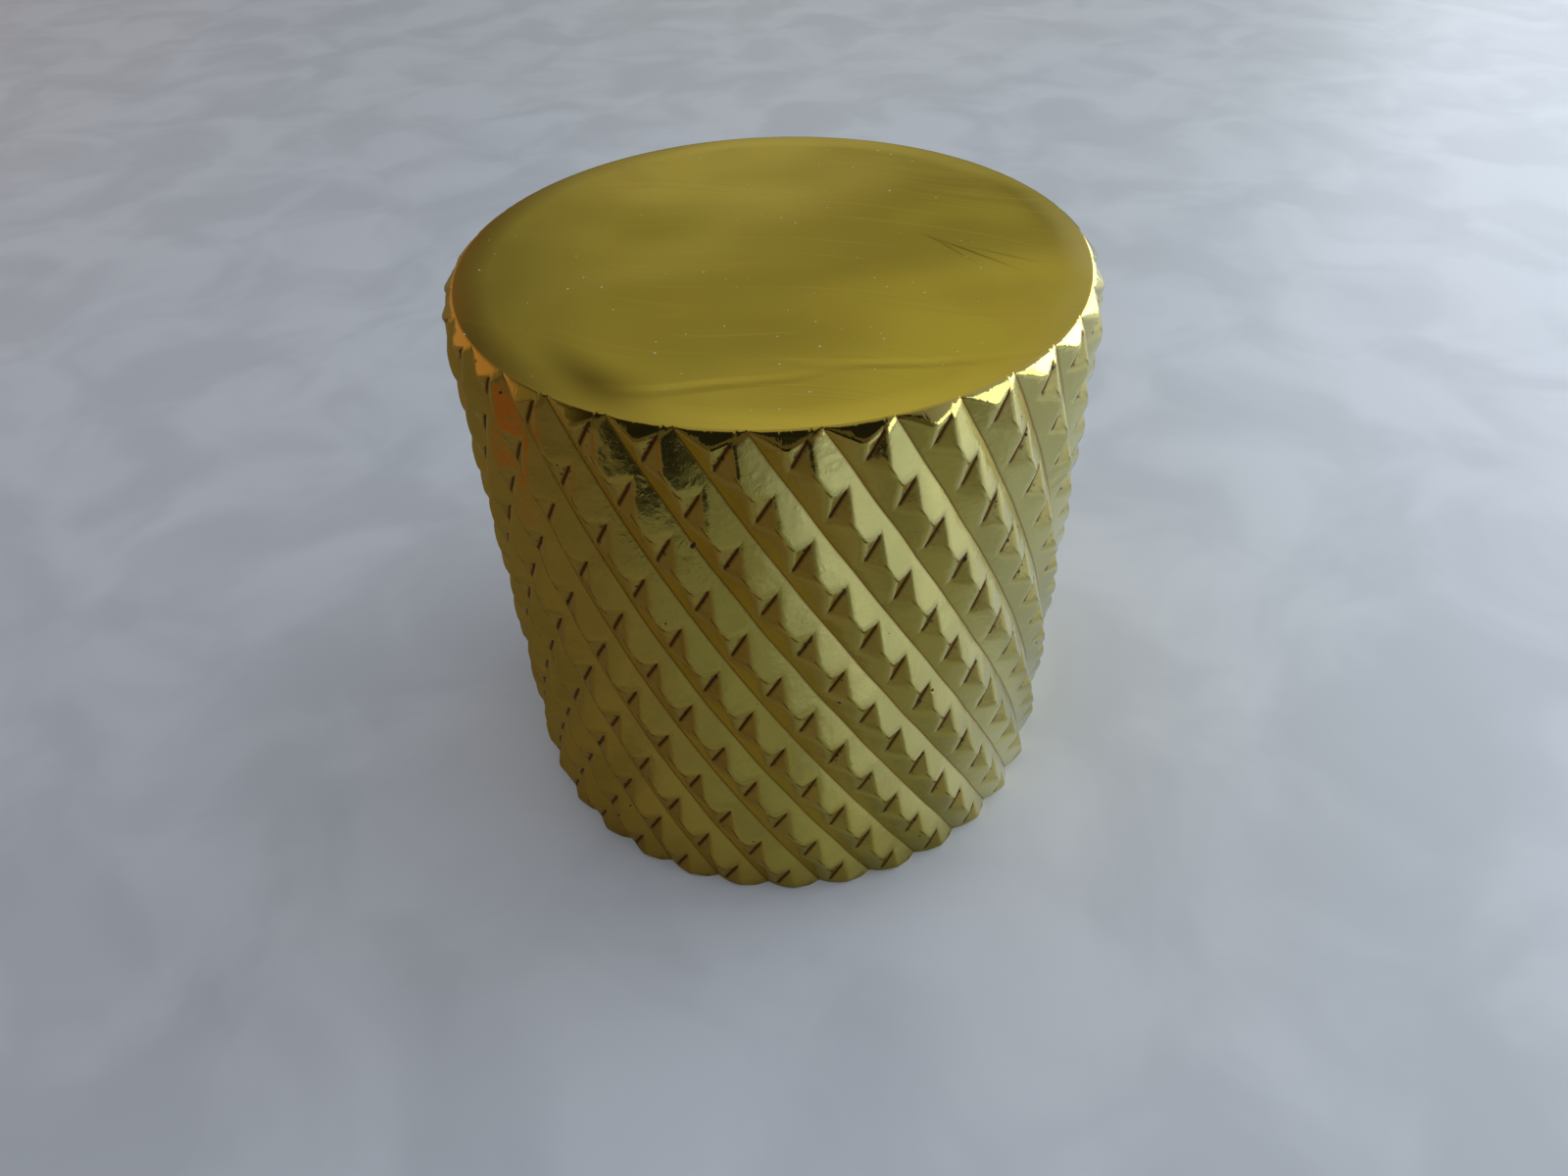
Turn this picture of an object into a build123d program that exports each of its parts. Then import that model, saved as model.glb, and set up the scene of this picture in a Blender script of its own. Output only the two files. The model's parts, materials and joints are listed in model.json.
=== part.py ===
from build123d import *
from math import atan2, ceil, cos, degrees, pi, radians, sin, tan
import os

# Solid metal control knob: a turned barrel with a polished flat top, diamond knurled all the way
# down, clamped on a plain round shaft by one screw from the side.
# Millimetres, +Z up, origin on the axis at the face the knob stands on. The screw is at +Y.

# Barrel
barrel_dia = 18.8          # over the tips of the knurl
barrel_height = 18.0
top_chamfer = 0.44         # 45 degrees, polished with the top
top_edge_round = 0.16      # polishing softens the rim of the top disc
base_chamfer = 0.22        # 45 degrees, takes the burr off the standing edge

# Knurl: two families of helical V grooves, the left-handed one pressed deeper
groove_count = 33          # of each family round the barrel
helix_angle = 30.3         # degrees from the axis
deep_groove = 0.43
shallow_groove = 0.25
tooth_tip_width = 0.05     # flat left on a tooth, across the deep grooves
tooth_tip_length = 0.5     # the same, across the shallow grooves
first_row_drop = 1.32      # from the top face down to the middle of the first row of teeth
first_tooth_angle = -73.5  # degrees from +X, place of one tooth in that row

# Underside and shaft bore
nut_recess_dia = 13.6      # clears the nut and washer of the control
nut_recess_depth = 3.2
shaft_dia = 6.0
shaft_clearance = 0.1      # on the diameter
bore_length = 11.0         # full diameter, from the floor of the recess
bore_lead_in = 0.35        # 45 degrees at the mouth
drill_point_angle = 118.0  # degrees, cone left by the drill at the blind end

# Set screw, a headless socket screw
screw_dia = 3.0
screw_length = 5.0
screw_height = 3.6         # axis above the floor of the recess
screw_clearance = 0.04     # on the diameter, between screw and hole
screw_tip_gap = 0.3        # from the tip to the bore, screw backed off
screw_cup_dia = 1.4
screw_cup_depth = 0.45
screw_point_chamfer = 0.45
screw_end_chamfer = 0.25
socket_across_flats = 1.5
socket_depth = 1.6
hole_mouth_chamfer = 0.3   # 45 degrees, measured in from the tips of the knurl

# What follows from them
barrel_radius = barrel_dia / 2
bore_radius = (shaft_dia + shaft_clearance) / 2
bore_top = nut_recess_depth + bore_length
screw_axis_z = nut_recess_depth + screw_height
hole_radius = (screw_dia + screw_clearance) / 2
screw_tip_y = bore_radius + screw_tip_gap
tooth_angle = 2 * pi / groove_count
row_spacing = barrel_radius * tooth_angle / 2 / tan(radians(helix_angle))
groove_pitch = barrel_radius * tooth_angle * cos(radians(helix_angle))
waste = 1.0                # blanks and cutters run past the finished part by this much


def point_on_tooth(across_deep, across_shallow, radius):
    """Place in one tooth's cell, in pitches from its middle across each family of grooves."""
    angle = (across_deep + across_shallow) * tooth_angle / 2
    height = (across_deep - across_shallow) * row_spacing
    return Vector(radius * cos(angle), radius * sin(angle), height)


def triangle(*corners):
    return Face(Wire.make_polygon(corners, close=True))


def fan(corners):
    """Flat facets from the first corner to each later edge."""
    return [triangle(corners[0], a, b) for a, b in zip(corners[1:], corners[2:])]


def tooth_cell():
    """Facets of one tooth and its share of the four grooves round it, and the cell's outline."""
    half_width = tooth_tip_width / groove_pitch / 2
    half_length = tooth_tip_length / groove_pitch / 2
    # The shallow groove breaks out of the side of the deep one where they are equally deep
    breakout = half_width + (0.5 - half_width) * shallow_groove / deep_groove

    def valley(side, end):
        return point_on_tooth(0.5 * side, 0.5 * end, barrel_radius - deep_groove)

    def notch(side, end):
        return point_on_tooth(breakout * side, 0.5 * end, barrel_radius - shallow_groove)

    def tip(side, end):
        return point_on_tooth(half_width * side, half_length * end, barrel_radius)

    facets = fan([tip(1, 1), tip(-1, 1), tip(-1, -1), tip(1, -1)])
    for side in (-1, 1):
        facets.append(triangle(valley(side, 1), notch(side, 1), tip(side, 1)))
        facets.append(triangle(valley(side, -1), notch(side, -1), tip(side, -1)))
        facets += fan([valley(side, 1), tip(side, 1), tip(side, -1), valley(side, -1)])
    for end in (-1, 1):
        facets += fan([tip(1, end), notch(1, end), notch(-1, end), tip(-1, end)])
    upper_edge = [valley(1, 1), valley(1, -1), notch(1, -1), notch(-1, -1), valley(-1, -1)]
    lower_edge = [valley(1, 1), notch(1, 1), notch(-1, 1), valley(-1, 1), valley(-1, -1)]
    return facets, upper_edge, lower_edge


def knurled_bar():
    """Closed bar of teeth, patterned round and down, longer than the barrel at both ends."""
    facets, upper_edge, lower_edge = tooth_cell()
    rows_above = ceil((first_row_drop + waste) / row_spacing) + 1
    rows_below = ceil((barrel_height - first_row_drop + waste) / row_spacing) + 1
    upper_cap = [triangle(a, b, Vector(0, 0, row_spacing)) for a, b in zip(upper_edge, upper_edge[1:])]
    lower_cap = [triangle(a, b, Vector(0, 0, -row_spacing)) for a, b in zip(lower_edge, lower_edge[1:])]
    bar = []
    for row in range(-rows_above, rows_below + 1):
        cell = list(facets)
        if row == -rows_above:
            cell += upper_cap
        if row == rows_below:
            cell += lower_cap
        height = barrel_height - first_row_drop - row * row_spacing
        for place in range(groove_count):
            turn = first_tooth_angle + degrees(tooth_angle) * (place + row % 2 / 2)
            bar += [facet.moved(Location((0, 0, height), (0, 0, turn))) for facet in cell]
    return Solid(Shell(bar))


def turned_profile():
    """Half section of the turned blank, open to cut the bar only at its chamfers and inside."""
    reach = barrel_radius + waste
    drill_point = bore_radius / tan(radians(drill_point_angle / 2))
    corners = [
        (0, bore_top + drill_point),
        (bore_radius, bore_top),
        (bore_radius, nut_recess_depth + bore_lead_in),
        (bore_radius + bore_lead_in, nut_recess_depth),
        (nut_recess_dia / 2, nut_recess_depth),
        (nut_recess_dia / 2, 0),
        (barrel_radius - base_chamfer, 0),
        (reach, base_chamfer + waste),
        (reach, barrel_height - top_chamfer - waste),
        (barrel_radius - top_chamfer, barrel_height),
        (0, barrel_height),
    ]
    section = make_face(Polyline(*corners, close=True))
    rim = section.vertices().sort_by_distance((barrel_radius - top_chamfer, barrel_height))[0]
    return fillet(rim, top_edge_round)


def screw_hole():
    """Cutter for the tapped hole, from inside the bore out past the knurl."""
    mouth = hole_radius + hole_mouth_chamfer
    corners = [
        (0, 0),
        (hole_radius, 0),
        (hole_radius, barrel_radius - hole_mouth_chamfer),
        (mouth, barrel_radius),
        (mouth, barrel_radius + 2 * waste),
        (0, barrel_radius + 2 * waste),
    ]
    cutter = revolve(make_face(Polyline(*corners, close=True)), Axis.Y)
    return Pos(0, 0, screw_axis_z) * cutter


def knob_body():
    blank = revolve(Plane.XZ * turned_profile(), Axis.Z) - screw_hole()
    return blank & knurled_bar()


def set_screw():
    """Headless screw along Y: cup point towards the bore, hexagon socket outwards."""
    radius = screw_dia / 2
    corners = [
        (0, screw_cup_depth),
        (screw_cup_dia / 2, 0),
        (radius - screw_point_chamfer, 0),
        (radius, screw_point_chamfer),
        (radius, screw_length - screw_end_chamfer),
        (radius - screw_end_chamfer, screw_length),
        (0, screw_length),
    ]
    shank = revolve(make_face(Polyline(*corners, close=True)), Axis.Y)
    flats = RegularPolygon(socket_across_flats / 2, 6, major_radius=False)
    socket = extrude(Plane.XZ.offset(-screw_length) * flats, socket_depth)
    return Pos(0, screw_tip_y, screw_axis_z) * (shank - socket)


os.makedirs("parts", exist_ok=True)
for name, build in (("knob_body", knob_body), ("set_screw", set_screw)):
    solid = build()
    solid.label = name
    export_step(solid, f"parts/{name}.step")
    print(name, round(solid.volume, 2), "mm3,", len(solid.faces()), "faces")
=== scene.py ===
import json
from math import atan2, ceil, cos, floor, pi, radians, sin, sqrt, tan

import bmesh
import bpy
import numpy as np
from mathutils import Matrix, Vector

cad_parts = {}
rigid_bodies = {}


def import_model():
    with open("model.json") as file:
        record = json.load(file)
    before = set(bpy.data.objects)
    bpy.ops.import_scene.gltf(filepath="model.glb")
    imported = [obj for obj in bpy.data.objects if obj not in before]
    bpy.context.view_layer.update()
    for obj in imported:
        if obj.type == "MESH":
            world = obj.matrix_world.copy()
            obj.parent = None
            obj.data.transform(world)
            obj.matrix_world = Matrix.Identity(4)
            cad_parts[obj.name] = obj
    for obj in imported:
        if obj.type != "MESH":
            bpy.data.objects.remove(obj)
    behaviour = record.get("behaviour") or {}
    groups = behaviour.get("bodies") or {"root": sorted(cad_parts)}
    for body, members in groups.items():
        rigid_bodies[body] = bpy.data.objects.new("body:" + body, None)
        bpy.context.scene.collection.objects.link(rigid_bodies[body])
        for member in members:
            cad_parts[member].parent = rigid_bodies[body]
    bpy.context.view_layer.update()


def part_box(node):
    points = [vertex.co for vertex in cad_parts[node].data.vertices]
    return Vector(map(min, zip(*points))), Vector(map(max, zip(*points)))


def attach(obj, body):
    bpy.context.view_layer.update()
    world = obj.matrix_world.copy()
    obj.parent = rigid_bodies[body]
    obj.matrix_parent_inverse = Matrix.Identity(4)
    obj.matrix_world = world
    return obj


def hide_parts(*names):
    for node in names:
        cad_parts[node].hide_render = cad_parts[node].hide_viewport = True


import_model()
mm = 0.001  # metres

# Solid metal control knob, gold plated: polished flat top, coarse diamond knurl down to the base,
# a threaded cross hole at the back with its socket screw. Lengths in the dictionaries are in mm.


def addObject(name, mesh):
    obj = bpy.data.objects.new(name, mesh)
    bpy.context.scene.collection.objects.link(obj)
    return obj


def triangleCount(mesh):
    return sum(len(face.vertices) - 2 for face in mesh.polygons)


def smoothMax(a, b, blend):  # the larger of two depths, with the edge between them rounded off
    near = np.maximum(1 - np.abs(a - b) / blend, 0)
    return np.maximum(a, b) + blend * near ** 2 / 4


# The barrel with its knurl
barrel = dict(
    radius=9.4,             # over the tips of the knurl
    topChamfer=0.44,        # 45 degrees
    rimRound=0.16,          # polished edge between disc and chamfer
    baseChamfer=0.22,
    chamferRound=0.12,      # depth over which chamfer and teeth blend
    rimStart=0.012,         # where the tube of teeth hands over to the rim's own rings
    rimRings=(0.006, 0.002, 0.0),  # how far those lie below the disc
    discInset=0.06,         # last ring, inside the rim's edge
    fineBelow=0.12,         # the mesh is finer from the top to this far under the chamfer
)
barrel["height"] = (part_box("knob_body")[1].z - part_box("knob_body")[0].z) / mm
knurl = dict(
    grooves=33,             # of each family round the barrel
    helixDegrees=30.3,
    deepGroove=0.43,        # left-handed family
    shallowGroove=0.25,     # right-handed family
    tipWidth=0.05,          # across the deep grooves
    tipLength=0.5,          # across the shallow grooves
    tipShift=0.055,         # in pitches: tips sit nearer to the groove below them, so one flank is steeper
    firstRowDrop=1.32,
    firstToothDegrees=16.5,  # round from the front, to the right
    rightRound=0.075,       # depth over which flanks blend, on a tooth's right side
    leftRound=0.12,
    tipRound=0.05,
    wander=0.016,           # in pitches, how far grooves stray from their line
    depthSpread=0.16,       # share by which the shallow grooves vary in depth
    leastCrest=0.07,        # in pitches, half width of the mesh columns along a tip
    crestColumns=(0.4, 0.75, 1.0),            # from the crest out to the flank's upper edge
    flankColumns=(0.18, 0.5, 0.82, 1.0),      # from there down to the deep groove
    endRows=(0.25, 0.38, 0.55, 0.75, 0.92, 1.0),  # from the tip to the shallow groove
)
knurl["toothAngle"] = 2 * pi / knurl["grooves"]
knurl["rowSpacing"] = barrel["radius"] * knurl["toothAngle"] / 2 / tan(radians(knurl["helixDegrees"]))
groovePitch = barrel["radius"] * knurl["toothAngle"] * cos(radians(knurl["helixDegrees"]))
knurl["tipHalfWidth"] = knurl["tipWidth"] / groovePitch / 2
knurl["tipHalfLength"] = knurl["tipLength"] / groovePitch / 2
swell = ((1.9, 0.7, 1.3, 0.4), (-1.1, 2.3, 0.8, 2.1), (0.6, -1.7, 2.2, 4.0), (2.4, 1.2, -1.6, 5.2))
swellStarts = dict(across=1.0, along=2.7, depth=4.1)  # so that the three uses of it don't run alike


def unevenness(angle, drop, shift):  # smooth waves between -1 and 1 that meet up round the barrel
    x, y = barrel["radius"] * np.sin(angle), barrel["radius"] * np.cos(angle)
    return sum(np.sin(a * x + b * y + c * drop + start * shift) for a, b, c, start in swell) / len(swell)


def latticePlace(angle, drop):  # pitches across the deep and the shallow grooves, whole numbers at a tooth
    turns = (angle - radians(knurl["firstToothDegrees"])) / knurl["toothAngle"]
    rows = (drop - knurl["firstRowDrop"]) / knurl["rowSpacing"] / 2
    across = turns - rows + knurl["wander"] * unevenness(angle, drop, swellStarts["across"])
    return across, turns + rows + knurl["wander"] * unevenness(angle, drop, swellStarts["along"])


def placeOf(across, along):  # angle and drop of a place on the lattice
    angle = radians(knurl["firstToothDegrees"]) + (across + along) * knurl["toothAngle"] / 2
    return angle, knurl["firstRowDrop"] + (along - across) * knurl["rowSpacing"]


def endShare(along):  # 0 at the middle of a tooth's tip, 1 in the shallow groove
    fromTip = along - np.round(along) - knurl["tipShift"]
    return np.abs(fromTip) / (0.5 - np.sign(fromTip) * knurl["tipShift"])


def flankDepth(share, depth, tip):  # straight flank, above zero past the tip's edge
    return depth * (share / 2 - tip) / (0.5 - tip)


def creaseAcross(along):  # how far from the crest the deep flank begins
    reach = flankDepth(endShare(along), knurl["shallowGroove"], knurl["tipHalfLength"])
    share = np.clip(reach, 0, None) / knurl["deepGroove"]
    return np.maximum(knurl["tipHalfWidth"] + (0.5 - knurl["tipHalfWidth"]) * share, knurl["leastCrest"])


def flankDepths(angle, drop):  # depths that each family of grooves alone would give
    across, along = latticePlace(angle, drop)
    deep = flankDepth(2 * np.abs(across - np.round(across)), knurl["deepGroove"], knurl["tipHalfWidth"])
    shallow = flankDepth(endShare(along), knurl["shallowGroove"], knurl["tipHalfLength"])
    shallow *= 1 + knurl["depthSpread"] * unevenness(angle, drop, swellStarts["depth"])
    return deep, shallow, across


def toothDepth(angle, drop):
    deep, shallow, across = flankDepths(angle, drop)
    blend = np.where(across > np.round(across), knurl["rightRound"], knurl["leftRound"])
    return smoothMax(smoothMax(deep, shallow, blend), 0, knurl["tipRound"])


def chamferDepth(drop):
    top = barrel["topChamfer"] - drop
    roundEnd = barrel["rimRound"] * (1 - cos(pi / 4))
    early = np.clip(drop, 0, roundEnd)
    reach = np.sqrt(2 * barrel["rimRound"] * early - early ** 2)
    rim = barrel["topChamfer"] + barrel["rimRound"] * tan(pi / 8) - reach
    top = np.where(drop < roundEnd, rim, top)
    return np.maximum(top, barrel["baseChamfer"] - (barrel["height"] - drop))


def skinDepth(angle, drop):
    return smoothMax(toothDepth(angle, drop), chamferDepth(drop), barrel["chamferRound"])


def unroll(points):  # angle from the front and drop from the top, of points in mm
    return np.arctan2(points[:, 0], -points[:, 1]), barrel["height"] - points[:, 2]


def readTube(bm):
    return unroll(np.array([v.co for v in bm.verts]) / mm)


def toothTube():
    # Lattice of quads on the plain cylinder, with edges along each tooth's crest, creases and grooves.
    # A column has a side, a zone (0 on the crest, 1 on the flank) and a share of that zone's width.
    marks = [(0, share) for share in knurl["crestColumns"]] + [(1, share) for share in knurl["flankColumns"]]
    columns = [(-1, *mark) for mark in reversed(marks)] + [(1, 0, 0.0)]
    columns += [(1, *mark) for mark in marks[:-1]]
    shift, reach = knurl["tipShift"], knurl["endRows"]
    rows = [shift - share * (0.5 + shift) for share in reversed(reach)] + [shift]
    rows += [shift + share * (0.5 - shift) for share in reach[:-1]]
    around = knurl["grooves"] * len(columns)
    margin = 2 * knurl["rowSpacing"]

    def corner(column, row):
        tooth, place = divmod(column, len(columns))
        side, zone, share = columns[place]
        along = row // len(rows) + rows[row % len(rows)]
        crease = float(creaseAcross(np.array(along)))
        return tooth + side * (crease + (0.5 - crease) * share if zone else crease * share), along

    places, index = [], {}
    ends = (-margin, barrel["height"] + margin)
    upper, lower = ((drop - knurl["firstRowDrop"]) / knurl["rowSpacing"] for drop in ends)
    for column in range(around):
        middle = corner(column, 0)[0]
        first, last = floor((middle + upper) * len(rows)), ceil((middle + lower) * len(rows))
        for row in range(first, last + 1):
            index[column, row] = len(places)
            places.append(corner(column, row))
    faces = []
    seamStep = knurl["grooves"] * len(rows)  # rows by which the lattice has climbed once round
    for column, row in index:
        nextColumn, nextRow = (column + 1, row) if column + 1 < around else (0, row - seamStep)
        loop = [(column, row), (nextColumn, nextRow), (nextColumn, nextRow + 1), (column, row + 1)]
        if all(key in index for key in loop):
            faces.append([index[key] for key in loop])
    across, along = np.array(places).T
    strayAcross, strayAlong = latticePlace(*placeOf(across, along))
    angle, drop = placeOf(2 * across - strayAcross, 2 * along - strayAlong)
    verts = np.stack([np.sin(angle), -np.cos(angle)]) * barrel["radius"]
    mesh = bpy.data.meshes.new("toothTube")
    mesh.from_pydata(np.vstack([verts, barrel["height"] - drop]).T * mm, [], faces)
    bm = bmesh.new()
    bm.from_mesh(mesh)
    bpy.data.meshes.remove(mesh)
    return bm


def scoreAlong(bm, levels, snap=0.15):
    # Puts edges where levels() crosses zero: corners close to the line move onto it, other edges are split
    value = dict(zip(bm.verts, levels(*readTube(bm))))
    onLine = {}  # a dictionary, so that every run takes them in the same order

    def crossing(edge):
        p, q = edge.verts
        return value[p] / (value[p] - value[q]) if value[p] * value[q] < 0 else None

    edges = list(bm.edges)
    for edge in edges:
        share = crossing(edge)
        if share is not None and not snap < share < 1 - snap:
            near, far = edge.verts if share < 0.5 else reversed(edge.verts)
            near.co = near.co.lerp(far.co, min(share, 1 - share))
            value[near] = 0.0
            onLine[near] = True
    for edge in edges:
        share = crossing(edge)
        if share is not None:
            split = bmesh.utils.edge_split(edge, edge.verts[0], share)[1]
            value[split] = 0.0
            onLine[split] = True
    bmesh.ops.connect_verts(bm, verts=list(onLine))
    return value


def deleteBeyond(bm, value):
    gone = [f for f in bm.faces if sum(value[v] for v in f.verts) > 0]
    bmesh.ops.delete(bm, geom=gone, context="FACES")


def refineTop(bm):  # finer mesh where the chamfer cuts through the teeth
    deepest = barrel["height"] - barrel["topChamfer"] - barrel["fineBelow"]
    edges = [e for e in bm.edges if min(v.co.z for v in e.verts) > deepest * mm]
    bmesh.ops.subdivide_edges(bm, edges=edges, cuts=1, use_grid_fill=True)


def openLoop(bm, atTop):
    middle = barrel["height"] * mm / 2
    return [e for e in bm.edges if e.is_boundary and (e.verts[0].co.z > middle) == atTop]


def nextRing(bm, loop, radius, height):  # extrudes an open loop to a circle, in mm
    made = bmesh.ops.extrude_edge_only(bm, edges=loop)["geom"]
    for v in (item for item in made if isinstance(item, bmesh.types.BMVert)):
        around = atan2(v.co.y, v.co.x)
        v.co = Vector((radius * cos(around), radius * sin(around), height)) * mm
    return [item for item in made if isinstance(item, bmesh.types.BMEdge) and item.is_boundary]


def closeLoop(bm, loop, tipHeight=None):
    face = bmesh.ops.contextual_create(bm, geom=loop)["faces"][0]
    if tipHeight is not None:
        bmesh.ops.poke(bm, faces=[face])["verts"][0].co.z = tipHeight * mm


underside = dict(
    recessEdge=6.9,         # radius where the standing ring ends
    rings=((6.8, 0.1), (6.8, 3.2), (3.4, 3.2), (3.05, 3.55), (3.05, 14.2)),  # radius and height
    drillPoint=16.03,       # height of the cone's tip in the blind end
    segments=96,
)


def addUnderside(bm):
    count = underside["segments"]
    turns = [2 * pi * k / count for k in range(count)]
    verts = [bm.verts.new(Vector((cos(a), sin(a), 0)) * underside["recessEdge"] * mm) for a in turns]
    inner = [bm.edges.new((verts[k - 1], verts[k])) for k in range(count)]
    bmesh.ops.triangle_fill(bm, use_beauty=True, edges=openLoop(bm, False) + inner)
    loop = [e for e in inner if e.is_boundary]
    for radius, height in underside["rings"]:
        loop = nextRing(bm, loop, radius, height)
    closeLoop(bm, loop, tipHeight=underside["drillPoint"])


def knobShell():
    bm = toothTube()
    deleteBeyond(bm, scoreAlong(bm, lambda angle, drop: barrel["rimStart"] - drop))
    deleteBeyond(bm, scoreAlong(bm, lambda angle, drop: drop - barrel["height"]))
    refineTop(bm)
    scoreAlong(bm, lambda angle, drop: toothDepth(angle, drop) - chamferDepth(drop))
    angle, drop = readTube(bm)
    for v, a, d, r in zip(bm.verts, angle, drop, barrel["radius"] - skinDepth(angle, drop)):
        v.co = Vector((r * sin(a), -r * cos(a), barrel["height"] - d)) * mm

    top = openLoop(bm, True)
    discEdge = barrel["radius"] - barrel["topChamfer"] - barrel["rimRound"] * tan(pi / 8)
    for sink in barrel["rimRings"]:
        reach = sqrt(2 * barrel["rimRound"] * sink - sink ** 2)
        top = nextRing(bm, top, discEdge + reach, barrel["height"] - sink)
    closeLoop(bm, nextRing(bm, top, discEdge - barrel["discInset"], barrel["height"]))
    addUnderside(bm)
    bmesh.ops.recalc_face_normals(bm, faces=list(bm.faces))
    mesh = bpy.data.meshes.new("knob_body_plated")
    bm.to_mesh(mesh)
    bm.free()
    return addObject("knob_body_plated", mesh)


# Cross hole at the back and the socket screw in it, both along Y
screwLow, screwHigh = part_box("set_screw")
screw = dict(
    height=(screwLow.z + screwHigh.z) / 2 / mm,
    tipAt=screwLow.y / mm,
    endAt=screwHigh.y / mm,
    radius=(screwHigh.z - screwLow.z) / 2 / mm,
    threadPitch=0.5,
    threadDepth=0.27,
    threadFlat=0.06,        # in pitches, half width of the thread's outer flat
    threadFlank=0.31,       # and width of its flank
    pitchRows=12,           # rows of mesh to a pitch
    columns=48,             # and round the screw
    clearance=0.02,         # between the screw and the threaded hole
    holeFrom=2.0,           # the hole is cut from inside the bore
    mouthAt=9.1,            # where its countersink begins
    holePast=1.2,           # and past that, out of the knurl
    cupRadius=0.7, cupDepth=0.45, cupLip=0.03,
    pointChamfer=0.45, endChamfer=0.25,
    socketFlats=1.5, socketDepth=1.6, socketChamfer=0.06, drillDepth=0.3,
    edgeStep=0.02,          # from a chamfer's ring to the flat beside it
)


def threadShare(y, angle):  # 0 on the thread's outer flat, 1 at its root
    turn = (y / screw["threadPitch"] - angle / (2 * pi)) % 1
    return min(max((abs(turn - 0.5) - screw["threadFlat"]) / screw["threadFlank"], 0), 1)


def ringStack(name, rings):  # closed skin through rings of (y, radius at an angle), from tip to end
    count = screw["columns"]
    angles = [2 * pi * k / count for k in range(count)]
    verts = [Vector((0, rings[0][0], screw["height"]))]
    for y, radiusAt in rings[1:-1]:
        for a in angles:
            r = radiusAt(a)
            verts.append(Vector((r * cos(a), y, screw["height"] + r * sin(a))))
    verts.append(Vector((0, rings[-1][0], screw["height"])))
    faces = [(0, 1 + (k + 1) % count, 1 + k) for k in range(count)]
    for ring in range(len(rings) - 3):
        first = 1 + ring * count
        for k in range(count):
            across = (k + 1) % count
            faces.append((first + k, first + across, first + count + across, first + count + k))
    first, last = 1 + (len(rings) - 3) * count, len(verts) - 1
    faces += [(last, first + k, first + (k + 1) % count) for k in range(count)]
    mesh = bpy.data.meshes.new(name)
    mesh.from_pydata([v * mm for v in verts], [], faces)
    bm = bmesh.new()
    bm.from_mesh(mesh)
    bmesh.ops.recalc_face_normals(bm, faces=list(bm.faces))
    bm.to_mesh(mesh)
    bm.free()
    return addObject(name, mesh)


def threadRows(start, end):
    step = screw["threadPitch"] / screw["pitchRows"]
    return [start + step * k for k in range(int((end - start) / step) + 1)]


def tappedHole(body):
    # Cuts the threaded hole with its countersunk mouth through the wall
    outer = screw["radius"] + screw["clearance"]

    def wall(y):
        cone = outer + y - screw["mouthAt"]
        return lambda angle: max(outer - screw["threadDepth"] * threadShare(y, angle), cone)

    start, end = screw["holeFrom"], screw["mouthAt"] + screw["holePast"]
    rings = [(start, None)] + [(y, wall(y)) for y in threadRows(start, end)]
    rings.append((end + 0.1, None))  # a flat cone closes the cutter, outside the knob
    cutter = ringStack("holeCutter", rings)
    cut = body.modifiers.new("hole", "BOOLEAN")
    cut.object, cut.operation, cut.solver = cutter, "DIFFERENCE", "EXACT"
    whole = body.data
    body.data = bpy.data.meshes.new_from_object(body.evaluated_get(bpy.context.evaluated_depsgraph_get()))
    body.modifiers.clear()
    bpy.data.meshes.remove(whole)
    bpy.data.objects.remove(cutter)


def socketScrew():
    radius, tip, end, step = screw["radius"], screw["tipAt"], screw["endAt"], screw["edgeStep"]

    def shank(y):
        limit = min(radius - screw["pointChamfer"] + (y - tip), radius - screw["endChamfer"] + (end - y))
        return lambda angle: min(radius - screw["threadDepth"] * threadShare(y, angle), limit)

    def hexagon(inset):
        return lambda angle: (screw["socketFlats"] / 2 - inset) / cos((angle % (pi / 3)) - pi / 6)

    def circle(r):
        return lambda angle: r

    rings = [(tip + screw["cupDepth"], None), (tip + step, circle(screw["cupRadius"] - screw["cupLip"]))]
    rings += [(tip, circle(screw["cupRadius"])), (tip, circle(radius - screw["pointChamfer"] - step))]
    rings += [(y, shank(y)) for y in threadRows(tip + 0.01, end)]
    rings += [(end, circle(radius - screw["endChamfer"] - step)), (end, hexagon(-screw["socketChamfer"]))]
    floorAt = end - screw["socketDepth"]
    rings += [(end - screw["socketChamfer"], hexagon(0)), (floorAt, hexagon(0))]
    rings.append((floorAt - screw["drillDepth"], None))
    return ringStack("set_screw_threaded", rings)


def readPoints(items, field):
    values = np.empty(len(items) * 3)
    items.foreach_get(field, values)
    return values.reshape(-1, 3)


shading = dict(
    sharpDegrees=42,        # body edges sharper than this stay sharp, away from the teeth
    screwSharpDegrees=35,
    slopeStep=0.004,        # mm over which the surface's slope is measured
    flatGap=0.0005,         # mm from the top or the base that still counts as on it
    skinGap=0.03,           # mm from the worked-out surface that still counts as on it
    grooveFrom=0.48,        # in pitches: a corner this far from the crest is in a groove's bottom
    inwards=0.02,           # in pitches: and takes its normal from this far inside its own face
)


def skinNormals(angle, drop):  # exact ones, from the slope of the depth
    step = np.minimum(shading["slopeStep"], drop / 2)
    turn = step / barrel["radius"]
    slopeRound = (skinDepth(angle + turn, drop) - skinDepth(angle - turn, drop)) / step / 2
    slopeDown = (skinDepth(angle, drop + step) - skinDepth(angle, drop - step)) / step / 2
    x = np.sin(angle) + slopeRound * np.cos(angle)
    y = slopeRound * np.sin(angle) - np.cos(angle)
    normals = np.stack([x, y, -slopeDown], axis=1)
    return normals / np.linalg.norm(normals, axis=1, keepdims=True)


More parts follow.
